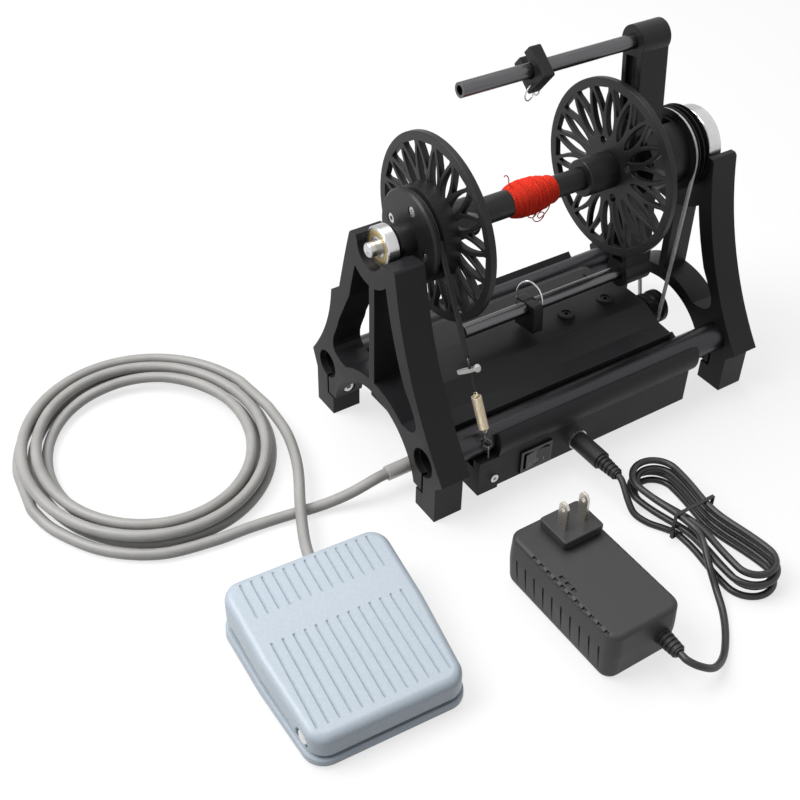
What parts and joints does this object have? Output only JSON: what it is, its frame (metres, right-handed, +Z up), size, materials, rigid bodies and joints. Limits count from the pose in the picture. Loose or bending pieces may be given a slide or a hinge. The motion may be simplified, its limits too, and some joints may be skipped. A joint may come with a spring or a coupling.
{
  "type": "electric yarn spinner",
  "caption": "Motor-driven flyer and bobbin on two arched end frames, with a tension brake, foot pedal on a coiled cord and a wall adapter on a tied cord.",
  "frame": {"origin": "on the table, at the middle of the two end frames' footprint", "axes": "+X along the spindle from the brake end to the orifice end, +Y from the switch side to the back, +Z up"},
  "size_m": [0.412, 0.3686, 0.2188],
  "materials": {
    "black_plastic": "satin, lightly grained",
    "black_tube": "satin black",
    "steel": "satin",
    "gloss_black": "gloss",
    "board": "board with raised parts",
    "belt_clear": "clear, slightly milky",
    "chrome": "polished",
    "yarn_red": "wound yarn",
    "brake_string": "fine braided cord",
    "nylon_white": "natural nylon",
    "spring_wire": "dull",
    "pedal_blue": "hammered enamel",
    "rubber_black": "matt",
    "cord_grey": "matt",
    "brass_blade": "plated",
    "cord_black": "satin"
  },
  "bodies": {
    "base": {"left_frame": "black_plastic", "right_frame": "black_plastic", "front_rod": "black_tube", "rear_rod": "black_tube", "socket_screws": "steel", "base_box": "black_plastic", "base_cover": "black_plastic", "side_bracket": "black_plastic", "pedal_jack": "black_plastic", "dc_jack": "steel", "switch_bezel": "gloss_black", "motor": "steel", "controller_board": "board", "left_bearing_outer": "steel", "right_bearing_outer": "steel", "bearing_balls": "steel", "drive_belt": "belt_clear", "brake_cord": "brake_string", "brake_links": "steel", "cable_tie": "nylon_white", "brake_spring": "spring_wire", "pedal_base": "pedal_blue", "pedal_pin": "steel", "pedal_spring": "steel", "micro_switch": "gloss_black", "pedal_feet": "rubber_black", "pedal_plug": "chrome", "pedal_cord_lead": "cord_grey", "pedal_cord_coil": "cord_grey", "pedal_cord_tail": "cord_grey", "adapter_lower": "black_plastic", "adapter_upper": "black_plastic", "plug_blades": "brass_blade", "cord_reliefs": "cord_black", "dc_plug": "cord_black", "dc_lead": "cord_black", "dc_hank": "cord_black", "hank_tie": "cord_black", "dc_tail": "cord_black"},
    "flyer": {"spindle": "steel", "left_bearing_inner": "steel", "right_bearing_inner": "steel", "flyer_arm": "black_plastic", "orifice_tube": "black_plastic", "upper_rod": "black_tube", "lower_rod": "black_tube", "drive_whorl": "black_plastic"},
    "bobbin": {"bobbin_tube": "black_tube", "left_flange": "black_plastic", "right_flange": "black_plastic", "brake_whorl": "black_plastic", "whorl_screws": "steel", "yarn": "yarn_red"},
    "motor_rotor": {"motor_pulley": "black_plastic"},
    "upper_hook_slider": {"upper_slider": "black_plastic", "upper_hook": "chrome"},
    "lower_hook_slider": {"lower_slider": "black_plastic", "lower_hook": "chrome"},
    "switch_rocker": {"rocker": "gloss_black"},
    "pedal_tread": {"pedal_cover": "pedal_blue"}
  },
  "joints": [
    {"name": "flyer_spin", "type": "hinge", "parent": "base", "child": "flyer", "pos_m": [0, 0.0045, 0.137], "axis": [1, 0, 0], "continuous": true},
    {"name": "bobbin_spin", "type": "hinge", "parent": "flyer", "child": "bobbin", "pos_m": [0, 0.0045, 0.137], "axis": [1, 0, 0], "continuous": true},
    {"name": "motor_spin", "type": "hinge", "parent": "base", "child": "motor_rotor", "pos_m": [0, -0.0035, 0.03], "axis": [1, 0, 0], "continuous": true},
    {"name": "upper_hook_slide", "type": "slide", "parent": "flyer", "child": "upper_hook_slider", "axis": [1, 0, 0], "range_m": [-0.04, 0.06]},
    {"name": "lower_hook_slide", "type": "slide", "parent": "flyer", "child": "lower_hook_slider", "axis": [1, 0, 0], "range_m": [-0.04, 0.06]},
    {"name": "rocker_tilt", "type": "hinge", "parent": "base", "child": "switch_rocker", "pos_m": [-0.046, -0.058, 0.0145], "axis": [0, 0, 1], "range_deg": [-12, 12]},
    {"name": "pedal_press", "type": "hinge", "parent": "base", "child": "pedal_tread", "pos_m": [-0.20492, -0.15192, 0.0125], "axis": [-0.9977, 0.068, 0], "range_deg": [0, 1.9], "stiffness_Nm_per_rad": 6, "springref_deg": -0.96, "deforming": ["pedal_spring"]}
  ],
  "couplings": [
    {"joint": "motor_spin", "follows": "flyer_spin", "ratio": 2.6279}
  ]
}
